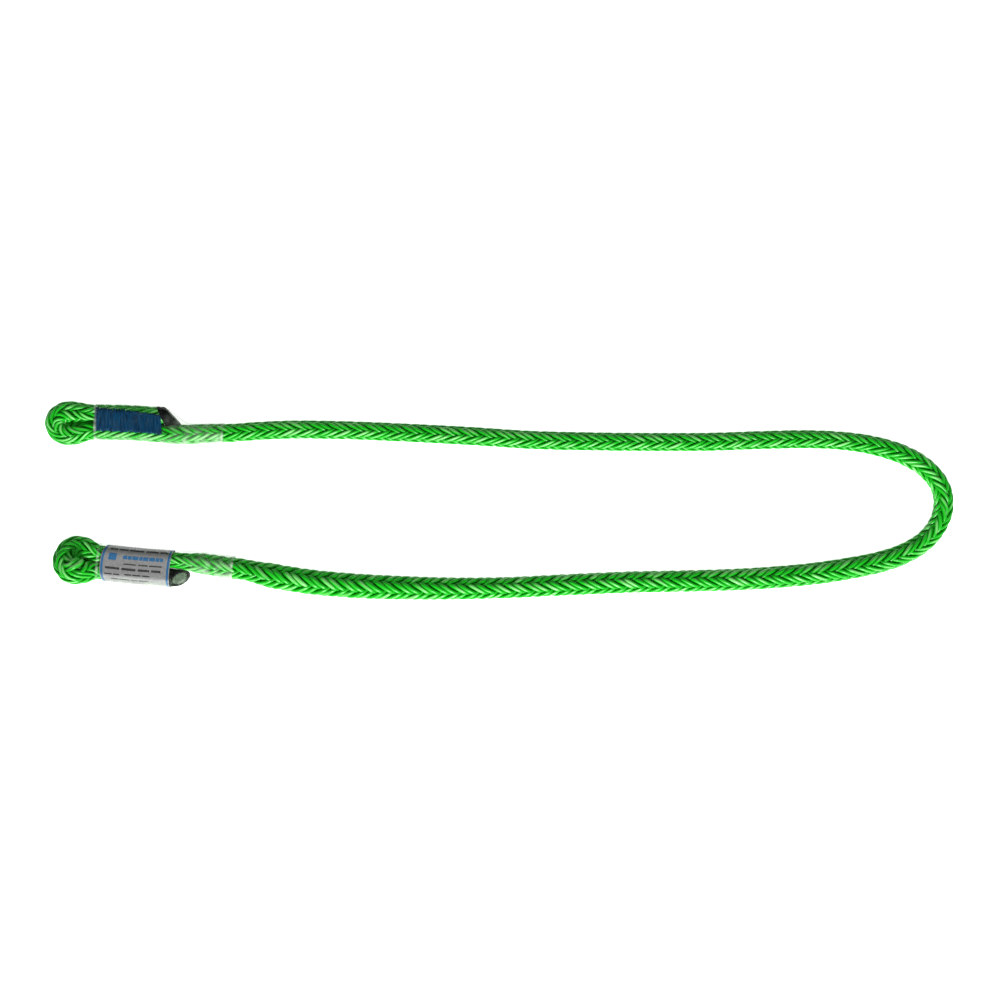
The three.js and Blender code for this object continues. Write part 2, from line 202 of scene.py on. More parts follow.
def end_line(end):
    """Centre line (in world), radius and inner swelling of an end, from the cut tail to the neck."""
    gap, meet, crown = end["half_gap"], end["runs_meet"], end["crown_centre"]
    wide, pull = end["eye_half_width"], EASE * (meet - crown)
    along_tail = np.linspace(end["tail_end"], meet, 40, endpoint=False)
    tail_run = np.column_stack([along_tail, np.full(len(along_tail), 2 * gap)])
    out = bezier((meet, 2 * gap), (meet - pull, 2 * gap), (crown + pull, gap + wide), (crown, gap + wide))
    turn = np.linspace(math.pi / 2, 1.5 * math.pi, 60)[1:-1]
    round_crown = np.column_stack([crown + end["crown_length"] * np.cos(turn), gap + wide * np.sin(turn)])
    back = bezier((crown, gap - wide), (crown + pull, gap - wide), (meet - pull, 0), (meet, 0))
    along_main = np.linspace(meet, 0, 70)[1:]
    main_run = np.column_stack([along_main, np.zeros(len(along_main))])
    flat = np.vstack([tail_run, out, round_crown, back, main_run])
    u = flat[:, 0]
    v = flat[:, 1] - gap
    share = smooth((meet - u) / (meet - crown))
    on_main = np.arange(len(flat)) >= len(flat) - len(main_run)

    angle = math.radians(end["tilt"]) * share
    sideways = gap + v * np.cos(angle) - end["drop"] * share
    local = np.column_stack([u, sideways, v * np.sin(angle) + end["lift"] * share])

    radius = end["run_radius"] + (end["eye_radius"] - end["run_radius"]) * share
    from_swell, to_swell = end["swell"]
    full = smooth((u - from_swell) / (to_swell - from_swell)) * on_main
    radius = radius + (end["full_radius"] - radius) * full
    at_neck = smooth((u - NECK_EASE_FROM) / NECK_EASE_LENGTH) * on_main
    radius = radius + (end["neck_radius"] - radius) * at_neck

    to_middle = np.hypot(np.maximum(0, crown - u), v)
    hollow = 1 - HOLLOW * smooth(HOLLOW_SPREAD * (crown - u) / end["crown_length"])
    room = np.maximum(0, to_middle - radius + PRESSED)
    swelling = end["filled"] * hollow * room / radius * (share > 0)
    return to_world(end, local), radius, swelling


def free_line():
    """Centre line and radius of the free rope between the two necks."""
    flat = catmull(ROUTE)
    s = np.append(0, np.cumsum(np.linalg.norm(np.diff(flat, axis=0), axis=1)))
    at_a, at_b = s[PER_SPAN * HINGE_A], s[PER_SPAN * HINGE_B]
    grow = smooth((s - at_a + GROW_BEFORE_A) / GROW_LENGTH)
    fill = smooth((s - at_b + GROW_BEFORE_B) / GROW_LENGTH)
    radius = LEG_A_RADIUS + (BEND_RADIUS - LEG_A_RADIUS) * grow + (LEG_B_RADIUS - BEND_RADIUS) * fill
    to_neck = s[-1] - s
    slack = smooth((SLACK_STARTS - to_neck) / (SLACK_STARTS - SLACK_FULL))
    slack = slack * smooth((to_neck - SLACK_GONE) / (SLACK_ENDS - SLACK_GONE))
    radius = FULLNESS * radius * (1 + SLACK_B * slack)
    above_a = (END_A["axis_height"] - radius[0]) * (1 - smooth(s / SETTLE))
    above_b = (END_B["axis_height"] - radius[-1]) * (1 - smooth(to_neck / SETTLE))
    return np.column_stack([flat, radius + above_a + above_b]), radius


class Rope:
    """The whole rope from cut tail to cut tail, sampled evenly along its centre line."""

    def __init__(self):
        line_a, radius_a, swelling_a = end_line(END_A)
        line_b, radius_b, swelling_b = (x[::-1] for x in end_line(END_B))
        free, radius_free = free_line()
        points = np.vstack([line_a, free[1:-1], line_b])
        radius = np.concatenate([radius_a, radius_free[1:-1], radius_b])
        swelling = np.concatenate([swelling_a, np.zeros(len(free) - 2), swelling_b])
        keep = np.append(True, np.linalg.norm(np.diff(points, axis=0), axis=1) > 1e-6)
        points, radius, swelling = points[keep], radius[keep], swelling[keep]
        s = np.append(0, np.cumsum(np.linalg.norm(np.diff(points, axis=0), axis=1)))
        self.s = np.arange(0, s[-1], STEP)
        at = lambda values: np.interp(self.s, s, values)
        soften = lambda values: softened(values, 4)
        self.point = np.column_stack([soften(at(points[:, i])) for i in range(3)])
        self.radius = soften(at(radius))
        self.swelling = soften(at(swelling))
        places = np.append(0, np.cumsum(keep))  # kept samples before each original one
        self.neck_a = s[places[len(line_a) - 1]]
        self.neck_b = s[places[len(line_a) + len(free) - 2] - 1]
        self.tangent = np.gradient(self.point, axis=0)
        self.tangent /= np.linalg.norm(self.tangent, axis=1)[:, None]
        self.left = np.cross([0, 0, 1], self.tangent)
        self.left /= np.linalg.norm(self.left, axis=1)[:, None]
        self.up = np.cross(self.tangent, self.left)

    def place_near(self, x, y):
        """Arc length of the place on the free rope nearest to a point."""
        free = (self.s > self.neck_a) & (self.s < self.neck_b)
        distance = np.hypot(self.point[:, 0] - x, self.point[:, 1] - y)
        return self.s[np.argmin(np.where(free, distance, np.inf))]

    def at(self, values, s):
        if values.ndim == 1:
            return np.interp(s, self.s, values)
        return np.column_stack([np.interp(s, self.s, values[:, i]) for i in range(values.shape[1])])


def softened(values, width):
    """A moving average that leaves the two ends where they are."""
    kernel = np.hanning(2 * width + 3)
    kernel /= kernel.sum()
    pad = len(kernel) // 2
    first = 2 * values[0] - values[pad:0:-1]
    last = 2 * values[-1] - values[-2:-pad - 2:-1]
    return np.convolve(np.concatenate([first, values, last]), kernel, "valid")


rope = Rope()

# How far the braid is turned about the rope, in degrees, at places along the rope.
TURN_AT = [
    (0.0, -3), (rope.neck_a, -3), (rope.place_near(*ROUTE[HINGE_A - 1]), -4),
    (rope.place_near(*ROUTE[APEX]), -28), (rope.place_near(*ROUTE[HINGE_B + 1]), 0),
    (rope.place_near(104 * MM, -42 * MM), 22), (rope.place_near(-10 * MM, -46 * MM), 29),
    (rope.neck_b, 38), (rope.s[-1], 38),
]

# ---- The braid ----

PITCH = 9.6 * MM  # from one chevron to the next
STRANDS = 6  # in each direction
PAIR_ANGLE = math.radians(12.5)  # half the angle between a strand's two yarns
YARN_SIDES = 10
YARN_WIDTH = 0.185  # half width and half depth, as shares of the rope's radius
YARN_DEPTH = 0.18
SWING = 0.15  # how far a strand rises and dives, likewise
FLAT_TOPS = 1.6  # how long a strand stays up before it dives
SWELL_POWER = 1.2  # how closely the swelling into an eye keeps to the eye's inner side
SWELL_BELOW = 0.8  # how much more the lower yarns swell there
SWELL_THICK = 0.6  # how much of the swelling goes into the yarns' thickness
RING = 1.0 * MM
SPARE = 2  # rings computed past each end of a piece, so that neighbouring pieces meet exactly

RINGS = np.arange(0, rope.s[-1], RING)
TURN = softened(np.interp(RINGS, *zip(*TURN_AT)), 10) * math.pi / 180


def braid(name, start, end):
    """One stretch of the whole rope's braid, as twenty-four yarns."""
    first, last = np.searchsorted(RINGS, (start, end))
    last = min(last, len(RINGS) - 1)
    before, after = min(SPARE, first), min(SPARE, len(RINGS) - 1 - last)
    chosen = slice(first - before, last + after + 1)
    keep = slice(before, before + last - first + 1)
    s, turn = RINGS[chosen], TURN[chosen]
    centre, left, up = (rope.at(values, s) for values in (rope.point, rope.left, rope.up))
    radius, swelling = rope.at(rope.radius, s), rope.at(rope.swelling, s)
    lay = 2 * math.pi * s / (STRANDS * PITCH)
    ridge = np.clip(np.sin(np.linspace(0, 2 * math.pi, YARN_SIDES, endpoint=False)), 0, 1)
    vertices, faces, rest, crest = [], [], [], []
    for hand in (1, -1):
        for strand in range(STRANDS):
            for half in (-1, 1):
                braided = math.pi / 12 + 2 * math.pi * strand / STRANDS + half * PAIR_ANGLE + hand * lay
                height = -hand * np.tanh(FLAT_TOPS * np.sin(3 * braided)) / math.tanh(FLAT_TOPS)
                angle = braided - turn
                lower = 1 + SWELL_BELOW * np.clip(-np.cos(angle), 0, 1)
                pressed_in = np.clip(np.sin(angle), 0, 1) ** SWELL_POWER * lower * swelling
                reach = radius * (1 + pressed_in) * (1 - YARN_DEPTH - SWING + SWING * height)
                outward = np.sin(angle)[:, None] * left + np.cos(angle)[:, None] * up
                thick = radius * (1 + SWELL_THICK * pressed_in)
                line = centre + reach[:, None] * outward
                line[:, 2] = np.maximum(line[:, 2], thick * YARN_DEPTH)  # the bench holds it up
                add_tube(vertices, faces, rest, line, outward, thick * YARN_WIDTH,
                         thick * YARN_DEPTH, s + fibre_offset(hand, strand, half), keep)
                # crest is high on a yarn's outer top where it rides over, and low where it dives under or
                # faces inwards; the material paints shade and highlight from it.
                crest.append(((0.5 + 0.5 * height[keep])[:, None] * (0.4 + 0.6 * ridge)).ravel())
    return mesh_piece(name, np.vstack(vertices), faces, rest=np.vstack(rest), crest=np.concatenate(crest))


def fibre_offset(hand, strand, half):
    """A steady offset for each yarn, so that its fibres differ from its neighbours'."""
    return 0.37 * strand + 1.9 * (hand + 1) + 0.11 * (half + 1)


def add_tube(vertices, faces, rest, line, outward, wide, deep, along, keep=slice(None), sides=YARN_SIDES):
    """A flattened tube along a line, open at its hidden ends. rest holds its straightened
    coordinates, which the fibres follow."""
    tangent = np.gradient(line, axis=0)
    tangent /= np.linalg.norm(tangent, axis=1)[:, None]
    across = np.cross(outward, tangent)
    across /= np.linalg.norm(across, axis=1)[:, None]
    normal = np.cross(tangent, across)
    wide, deep = np.broadcast_to(wide, len(line)), np.broadcast_to(deep, len(line))
    round_angle = np.linspace(0, 2 * math.pi, sides, endpoint=False)
    x = np.cos(round_angle)[None, :] * wide[:, None]
    y = np.sin(round_angle)[None, :] * deep[:, None]
    points = line[:, None, :] + x[..., None] * across[:, None, :] + y[..., None] * normal[:, None, :]
    points, x, y, along = points[keep], x[keep], y[keep], along[keep]
    first = sum(len(v) for v in vertices)
    vertices.append(points.reshape(-1, 3))
    rest.append(np.column_stack([np.repeat(along, sides), x.ravel(), y.ravel()]))
    for i in range(len(points) - 1):
        for j in range(sides):
            k = (j + 1) % sides
            a, b = first + i * sides, first + (i + 1) * sides
            faces.append((a + j, a + k, b + k, b + j))


def mesh_piece(name, vertices, faces, rest=None, **painted):
    """An object from vertices and faces, with the vertex values that its material reads."""
    mesh = bpy.data.meshes.new(name)
    mesh.from_pydata([tuple(v) for v in vertices], [], faces)
    mesh.update()
    mesh.shade_smooth()
    if rest is not None:
        kept = mesh.attributes.new("rest", "FLOAT_VECTOR", "POINT")
        kept.data.foreach_set("vector", rest.astype(np.float32).ravel())
    for key, values in painted.items():
        kept = mesh.attributes.new(key, "FLOAT", "POINT")
        kept.data.foreach_set("value", values.astype(np.float32))
    made = bpy.data.objects.new(name, mesh)
    bpy.context.scene.collection.objects.link(made)
    return made


# ---- Material helpers ----


def principled(name, **values):
    made = bpy.data.materials.new(name)
    made.use_nodes = True
    shader = made.node_tree.nodes["Principled BSDF"]
    for socket, value in values.items():
        shader.inputs[socket.replace("_", " ")].default_value = value
    return made, made.node_tree, shader


def node(tree, kind, inputs=None, **settings):
    made = tree.nodes.new(kind)
    for key, value in settings.items():
        setattr(made, key, value)
    for key, value in (inputs or {}).items():
        if isinstance(value, bpy.types.NodeSocket):
            tree.links.new(value, made.inputs[key])
        else:
            made.inputs[key].default_value = value
    return made


def ramp(tree, factor, stops):
    made = node(tree, "ShaderNodeValToRGB", {"Fac": factor})
    for i, (place, colour) in enumerate(stops):
        stop = made.color_ramp.elements[i] if i < 2 else made.color_ramp.elements.new(place)
        stop.position = place
        stop.color = (*colour, 1)
    return made.outputs["Color"]


def fibres(tree, along=90.0, across=4200.0, detail=3.0):
    """Streaks that run along a yarn or thread, from its straightened coordinates."""
    rest = node(tree, "ShaderNodeAttribute", attribute_name="rest").outputs["Vector"]
    scaled = node(tree, "ShaderNodeVectorMath", {0: rest, 1: (along, across, across)}, operation="MULTIPLY")
    stretched = scaled.outputs["Vector"]
    noise = node(tree, "ShaderNodeTexNoise", {"Vector": stretched, "Scale": 1.0, "Detail": detail})
    return noise.outputs["Fac"]


def mottle(tree, scale, detail=2.0):
    """Even noise over a piece, from its own coordinates."""
    place = node(tree, "ShaderNodeTexCoord").outputs["Object"]
    noise = node(tree, "ShaderNodeTexNoise", {"Vector": place, "Scale": scale, "Detail": detail})
    return noise.outputs["Fac"]


def bump(tree, shader, height, strength, distance):
    made = node(tree, "ShaderNodeBump", {"Height": height, "Strength": strength, "Distance": distance})
    tree.links.new(made.outputs["Normal"], shader.inputs["Normal"])


def mix_colour(tree, factor, a, b, blend="MIX"):
    made = node(tree, "ShaderNodeMix", data_type="RGBA", blend_type=blend)
    for index, value in ((0, factor), (6, a), (7, b)):
        if isinstance(value, bpy.types.NodeSocket):
            tree.links.new(value, made.inputs[index])
        else:
            made.inputs[index].default_value = value if index == 0 else (*value, 1)
    return made.outputs[2]


# ---- Materials ----


def braid_material():
    made, tree, shader = principled("green_braid", Specular_IOR_Level=0.2)
    streaks = fibres(tree)
    uneven = fibres(tree, along=60.0, across=300.0, detail=1.0)
    crest = node(tree, "ShaderNodeAttribute", attribute_name="crest").outputs["Fac"]
    # Painted shade: the green darkens where a yarn dives under its neighbours and on its inward side, and
    # brightens on its outer crest.
    body = ramp(tree, crest, [
        (0.0, (0.001, 0.115, 0.001)), (0.35, (0.001, 0.205, 0.002)),
        (0.75, (0.001, 0.265, 0.003)), (1.0, (0.006, 0.31, 0.008)),
    ])
    # Painted highlight: pale green streaks along the yarns' crests, broken up by noise, stand in for the
    # shine of the fibres.
    glint = node(tree, "ShaderNodeMath", {0: crest, 1: uneven}, operation="MULTIPLY").outputs[0]
    painted_highlight_mask = ramp(tree, glint, [(0.44, (0, 0, 0)), (0.56, (1, 1, 1))])
    highlight_and_wear = mix_colour(tree, painted_highlight_mask, body, (0.11, 0.41, 0.095))
    grain = ramp(tree, streaks, [(0.35, (0.7, 0.7, 0.7)), (0.68, (1.0, 1.0, 1.0))])
    tree.links.new(mix_colour(tree, 1.0, highlight_and_wear, grain, "MULTIPLY"), shader.inputs["Base Color"])
    rough = node(tree, "ShaderNodeMapRange", {0: streaks, 3: 0.24, 4: 0.42})
    tree.links.new(rough.outputs[0], shader.inputs["Roughness"])
    bump(tree, shader, streaks, 0.3, 0.1 * MM)
    return made


def thread_material():
    made, tree, shader = principled("navy_thread", Roughness=0.36, Specular_IOR_Level=0.04)
    streaks = fibres(tree, along=400.0, across=6000.0)
    # The lighter blue streaks are partly the thread's own fibre tone and partly painted highlight, standing
    # in for glints on the thread.
    colour = ramp(tree, streaks, [(0.4, (0.0002, 0.004, 0.012)), (0.64, (0.003, 0.042, 0.1))])
    tree.links.new(colour, shader.inputs["Base Color"])
    bump(tree, shader, streaks, 0.3, 0.06 * MM)
    return made


def tape_material():
    made, tree, shader = principled("black_tape", Roughness=0.45, Specular_IOR_Level=0.02)
    creases = mottle(tree, 420.0, 4.0)
    colour = ramp(tree, creases, [(0.3, (0.001, 0.001, 0.001)), (0.8, (0.006, 0.006, 0.0065))])
    tree.links.new(colour, shader.inputs["Base Color"])
    bump(tree, shader, creases, 0.5, 0.25 * MM)
    return made


def cut_end_material():
    made, tree, shader = principled("cut_fibres", Roughness=0.75)
    place = node(tree, "ShaderNodeTexCoord").outputs["Object"]
    specks = node(tree, "ShaderNodeTexVoronoi", {"Vector": place, "Scale": 1500.0}).outputs["Distance"]
    colour = ramp(tree, specks, [(0.0, (0.055, 0.095, 0.05)), (0.6, (0.012, 0.03, 0.011))])
    tree.links.new(colour, shader.inputs["Base Color"])
    bump(tree, shader, specks, 0.5, 0.2 * MM)
    return made


def sleeve_material():
    made, tree, shader = principled("clear_film", Roughness=0.25, IOR=1.45, Specular_IOR_Level=0.2)
    waves = mottle(tree, 260.0, 3.0)
    # The film's own milky tint, paler on its waves: a painted highlight where its creases catch the light.
    colour = ramp(tree, waves, [(0.3, (0.34, 0.45, 0.34)), (0.7, (0.55, 0.66, 0.52))])
    tree.links.new(colour, shader.inputs["Base Color"])
    # Painted highlight: where the waves rise the film turns more opaque and paler, scaled by the vertex
    # value, which holds the film's own haze and a painted highlight on the side towards the key light. The
    # edge-on rim added below is the film's own haze.
    haze = node(tree, "ShaderNodeAttribute", attribute_name="haze").outputs["Fac"]
    spread = {"From Min": 0.4, "From Max": 0.72, "To Min": 0.25, "To Max": 2.0}
    crease_highlight = node(tree, "ShaderNodeMapRange", {"Value": waves, **spread}).outputs[0]
    cloudy = node(tree, "ShaderNodeMath", {0: haze, 1: crease_highlight}, operation="MULTIPLY").outputs[0]
    edge = node(tree, "ShaderNodeLayerWeight", {"Blend": 0.5}).outputs["Facing"]
    steep = node(tree, "ShaderNodeMath", {0: edge, 1: 5.0}, operation="POWER").outputs[0]
    rim = node(tree, "ShaderNodeMath", {0: steep, 1: 0.45}, operation="MULTIPLY").outputs[0]
    seen = node(tree, "ShaderNodeMath", {0: cloudy, 1: rim}, operation="ADD").outputs[0]
    tree.links.new(seen, shader.inputs["Alpha"])
    bump(tree, shader, waves, 0.4, 0.3 * MM)
    return made


def label_material():
    made, tree, shader = principled("silver_film", Roughness=0.38, Specular_IOR_Level=0.65)
    grain = mottle(tree, 900.0)
    colour = ramp(tree, grain, [(0.3, (0.085, 0.086, 0.085)), (0.7, (0.13, 0.131, 0.13))])
    tree.links.new(colour, shader.inputs["Base Color"])
    dents = mottle(tree, 120.0)
    bump(tree, shader, dents, 0.25, 0.5 * MM)
    return made


def ink_material(name, colour):
    made, tree, shader = principled(name, Roughness=0.4, Specular_IOR_Level=0.2)
    wear = mottle(tree, 1400.0)
    highlight_and_wear = ramp(tree, wear, [(0.35, colour), (0.8, tuple(0.7 * c + 0.03 for c in colour))])
    tree.links.new(highlight_and_wear, shader.inputs["Base Color"])
    return made


# ---- Rope pieces ----


def dress(piece, material, slot, *nodes):
    piece.data.materials.append(material)
    if nodes:
        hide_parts(*nodes)
    return piece


NECK_BLEND = 8 * MM  # how far each way from a hinge each blend reaches
BEND_BLEND = 25 * MM


def hinge(index):
    """The place of one of the route's hinge points on the rope, and the rope's direction there."""
    s = rope.place_near(*ROUTE[index])
    return rope.at(rope.point, s)[0], rope.at(rope.tangent, s)[0]


def rope_pieces(material):
    apex = rope.place_near(*ROUTE[APEX])
    mid_a = rope.place_near(*ROUTE[MIDDLE_A])
    mid_b = rope.place_near(*ROUTE[MIDDLE_B])
    inside = 12 * MM  # how far into the sewn end each free piece starts
    behind_cut = 4.5 * MM  # the tape and the cut face close what is past this
    for name, body, start, end, stands_for in (
        ("braid_eye_a", "end_a", behind_cut, rope.neck_a - inside, "eye_a_rope"),
        ("braid_eye_b", "end_b", rope.neck_b + inside, rope.s[-1] - behind_cut, "eye_b_rope"),
    ):
        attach(dress(braid(name, start, end), material, "braid", stands_for), body)

    neck_a, along_a, _ = end_frame(END_A)
    neck_b, along_b, _ = end_frame(END_B)
    hinge_a, turn_a = hinge(HINGE_A)
    hinge_b, turn_b = hinge(HINGE_B)
    # Each blend is centred on its hinge; the loop below only bakes each piece in place.
    blends = (
        ("braid_neck_a", rope.neck_a - inside, mid_a, "end_a", "leg_a", LEG_A_RADIUS, "leg_a_rope",
         neck_a, NECK_BLEND * along_a),
        ("braid_bend_a", mid_a, apex, "leg_a", "bend", BEND_RADIUS, "bend_rope",
         hinge_a, BEND_BLEND * turn_a),
        ("braid_bend_b", apex, mid_b, "bend", "leg_b", LEG_B_RADIUS, "bend_rope",
         hinge_b, BEND_BLEND * turn_b),
        ("braid_neck_b", mid_b, rope.neck_b + inside, "leg_b", "end_b", LEG_B_RADIUS, "leg_b_rope",
         neck_b, -NECK_BLEND * along_b),
    )
    for name, start, end, body, next_body, radius, stands_for, middle, half in blends:
        piece = dress(braid(name, start, end), material, "braid", stands_for)
        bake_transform(piece)


# ---- Sewing ----

ROW_PITCH = 0.72 * MM
ROW_THICK = 0.24 * MM
ROW_LIFT = 0.22 * MM  # the rows' middle above the rope's radius
ROW_LEAN = 2.7 * MM  # how far the last row leans towards the eye
DIVE = 1.1 * MM  # how deep the rows go into the main run
DIVE_AT_TAIL = 1.2 * MM  # and into the tail


def sewing(end, face):
    """Rows of one thread, each a loop over both runs. face is 1 on top and -1 underneath."""
    start, stop = end["sewing"]
    run, gap = end["run_radius"], end["half_gap"]
    top = run + ROW_LIFT
    fine = np.linspace(0, 1, 18)
    vertices, faces, rest = [], [], []
    rows = int(round((stop - start) / ROW_PITCH))
    variation = np.random.default_rng(5 + face + 3 * end["side"])
    for row in range(rows):
        u = start + (row + 0.5) * ROW_PITCH
        done = row / (rows - 1)
        uneven = 5 * (-1) ** row + variation.uniform(-3, 3)
        wrap = math.radians(end["thread_wrap"][0] * (1 - done) + end["thread_wrap"][1] * done + uneven)
        near = variation.uniform(-0.4, 0.4) * MM
        lean = variation.uniform(-0.15, 0.15) * MM - ROW_LEAN * done
        shoulder = [2 * gap + top * math.sin(a) for a in np.linspace(0, 1, 4) * wrap]
        drop = [top * math.cos(a) for a in np.linspace(0, 1, 4) * wrap]
        v = np.array([near, near + 0.2 * MM, near + 0.7 * MM, gap, *shoulder, shoulder[-1] + 0.25 * MM])
        w = np.array([top - DIVE, top - 0.1 * MM, top, top, *drop, drop[-1] - DIVE_AT_TAIL])
        v, w = (softened(np.interp(fine, np.linspace(0, 1, len(v)), x), 1) for x in (v, w))
        line = to_world(end, np.column_stack([u + lean * fine, v, face * w]))
        out = np.tile([0, 0, float(face)], (len(line), 1)) + 1e-3
        along = 2 * gap * fine + row * 0.13
        add_tube(vertices, faces, rest, line, out, ROW_PITCH * 0.6, ROW_THICK, along, sides=8)
    kind = "needle" if face > 0 else "bobbin"
    return mesh_piece(f"stitches_{kind}_{end['name']}", np.vstack(vertices), faces, rest=np.vstack(rest))


# ---- Tape ----


def slanted_ring(end, u, slope, radius, count=40):
    angle = np.linspace(0, 2 * math.pi, count, endpoint=False)
    side, w = radius * np.cos(angle), radius * np.sin(angle)
    return np.column_stack([u + slope[0] * side + slope[1] * w, 2 * end["half_gap"] + side, w])


def loft(end, rings, closed=False):
    """Joins rings of equal size into a skin. A closed one also joins the last ring to the first."""
    count = len(rings[0])
    vertices = np.vstack([to_world(end, r) for r in rings])
    faces = []
    total = len(rings) if closed else len(rings) - 1
    for i in range(total):
        a, b = i * count, ((i + 1) % len(rings)) * count
        for j in range(count):
            k = (j + 1) % count
            faces.append((a + j, a + k, b + k, b + j))
    return vertices, faces


def tape(end):
    outer = end["run_radius"] + 0.25 * MM
    rings = []
    for t in np.linspace(0, 1, 14):
        u = end["tape_start"] + (end["tail_end"] - end["tape_start"]) * t
        slope = [
            end["tape_slope"] + (end["cut_slope"][0] - end["tape_slope"]) * t,
            end["cut_slope"][1] * t,
        ]
        crease = 1 + 0.02 * math.sin(9 * t) - 0.06 * smooth((t - 0.75) / 0.25)
        rings.append(slanted_ring(end, u, slope, outer * crease))
    mouth = end["cut_share"] * end["run_radius"] - 0.1 * MM
    inner = [slanted_ring(end, end["tail_end"] - 0.2 * MM, end["cut_slope"], mouth),
             slanted_ring(end, end["tape_start"], (end["tape_slope"], 0), outer * 0.93)]
    vertices, faces = loft(end, rings + inner, closed=True)
    return mesh_piece(f"tape_{end['name']}", vertices, faces)


def cut_end(end):
    """The rope's cut face, a little crowned, showing its fibres."""
    rings = []
    for share in (1, 0.7, 0.35, 0.02):
        bulge = 0.5 * MM * (1 - share**2)
        radius = share * end["cut_share"] * end["run_radius"]
        rings.append(slanted_ring(end, end["tail_end"] - 0.25 * MM + bulge, end["cut_slope"], radius))
    vertices, faces = loft(end, rings)
    return mesh_piece(f"cut_face_{end['name']}", vertices, faces)


# ---- Shrink sleeve ----

FILM = 0.22 * MM
RIM = 0.8 * MM  # the cloudy band along each cut edge of a sleeve
AROUND = (np.arange(64) + 0.5) / 64 * 2 * math.pi  # the angles of the points round a sleeve


def stadium(end, u, lateral, height, share, lowest):
    """A ring round both runs, flat where it lies on the bench. share moves the tail's side in."""
    centre = np.where(np.cos(AROUND) > 0, 2 * end["half_gap"] * share, 0)
    w = np.maximum(height * np.sin(AROUND), lowest)
    return np.column_stack([np.full(len(AROUND), u), centre + lateral * np.cos(AROUND), w])


def sleeve(end):
    narrow, single = end["taper"]
    places = np.concatenate([
        [end["sleeve_start"], end["sleeve_start"] + RIM],
        np.linspace(end["sleeve_start"] + 2 * RIM, narrow, 30, endpoint=False),
        np.linspace(narrow, single, 24, endpoint=False),
        np.linspace(single, MOUTH - 2 * RIM, 16),
        [MOUTH - RIM, MOUTH],
    ])
    wrinkle = np.random.default_rng(21 + end["side"]).uniform(-0.05, 0.05, len(places)) * MM
    near_neck = smooth((places - single) / (MOUTH - single))
    about_one = end["full_radius"] + 0.25 * MM
    about_one = about_one + (end["neck_radius"] + end["mouth_room"] - about_one) * near_neck
    shares = 1 - smooth((places - narrow) / (single - narrow))

    def skin(wall):
        rings = []
        for u, ripple, one, share in zip(places, wrinkle, about_one, shares):
            lateral = one + (end["run_radius"] + end["beside_runs"] - one) * share + wall + ripple
            height = one + (end["run_radius"] + end["above_runs"] - one) * share + wall + ripple
            on_bench = FILM - wall - end["axis_height"]
            rings.append(stadium(end, u, lateral, height, float(share), on_bench))
        return rings

    # Painted highlight: the side nearer the key light gets more pale crease patches; the band at each cut
    # edge and the rest are the film's own haze.
    key_side_highlight = np.clip(-end["side"] * np.cos(AROUND) - 0.2, 0, 1)
    haze = []
    for u, share in zip(places, shares):
        at_rim = 0.14 if min(u - end["sleeve_start"], MOUTH - u) < 1.5 * RIM else 0.0
        haze.append(at_rim + 0.003 + 0.05 * (1 - share) + 0.1 * key_side_highlight)
    vertices, faces = loft(end, skin(FILM) + skin(0)[::-1], closed=True)
    return mesh_piece(f"sleeve_{end['name']}", vertices, faces, haze=np.concatenate(haze + haze[::-1]))


# ---- Label ----

LABEL_FROM, LABEL_TO = -71.2 * MM, -36.9 * MM
BOW_AT_EYE, BOW_AT_NECK = 2.8 * MM, 1.0 * MM  # how far the label's edges bow towards the eye
BORDER = 1.5 * MM
LABEL_LIFT = 0.62 * MM  # the film's height above the rope's radius
FILM_WRAP = 0.45  # how far past the top the film goes on each side, as a share of the top
EDGE_WRAP = 0.4  # and its blue edges
EDGE_INSET = 0.012  # as a share of the label's length
EDGE_LIFT = 0.06 * MM
INK_LIFT = 0.07 * MM


def label_point(u_share, across, lift):
    """A point on the label. across runs 0 to 1 over the top, from the main run's side to the tail's."""
    gap, radius = END_B["half_gap"], END_B["run_radius"] + LABEL_LIFT + lift
    arc, flat = math.pi / 2 * radius, 2 * gap
    total = 2 * arc + flat
    a = across * total
    first = a < arc
    last = a > arc + flat
    angle_one = a / radius
    angle_two = (a - arc - flat) / radius
    past_flat = np.where(last, flat + radius * np.sin(angle_two), a - arc)
    v = np.where(first, -radius * np.cos(angle_one), past_flat)
    w = np.where(first, radius * np.sin(angle_one), np.where(last, radius * np.cos(angle_two), radius))
    bow = BOW_AT_EYE + (BOW_AT_NECK - BOW_AT_EYE) * u_share
    bow = bow * (1 - (2 * np.clip(across, 0, 1) - 1) ** 2)
    return np.column_stack([LABEL_FROM + u_share * (LABEL_TO - LABEL_FROM) - bow, v, w])


def label_patch(u0, u1, a0, a1, lift):
    """A curved patch of film as vertices and faces, with an upper and a lower skin."""
    nu, na = 3, max(4, int(40 * (a1 - a0)) + 3)
    vertices, faces = [], []
    for level in (lift, lift - 0.05 * MM):
        for u in np.linspace(u0, u1, nu):
            vertices.append(label_point(u, np.linspace(a0, a1, na), level))
    cell = lambda k, i, j: (k * nu + i) * na + j
    for i in range(nu - 1):
        for j in range(na - 1):
            corners = ((i, j), (i, j + 1), (i + 1, j + 1), (i + 1, j))
            faces.append(tuple(cell(0, *corner) for corner in corners))
            faces.append(tuple(cell(1, *corner) for corner in (corners[0], *corners[:0:-1])))
    return np.vstack(vertices), faces


def patches(name, boxes, lift):
    """One piece from several patches, each from u0 to u1 and a0 to a1 as shares of the label."""
    vertices, faces = [], []
    for box in boxes:
        found, sides = label_patch(*box, lift)
        first = sum(len(v) for v in vertices)
        vertices.append(to_world(END_B, found))
        faces += [tuple(first + i for i in face) for face in sides]
    return mesh_piece(name, np.vstack(vertices), faces)


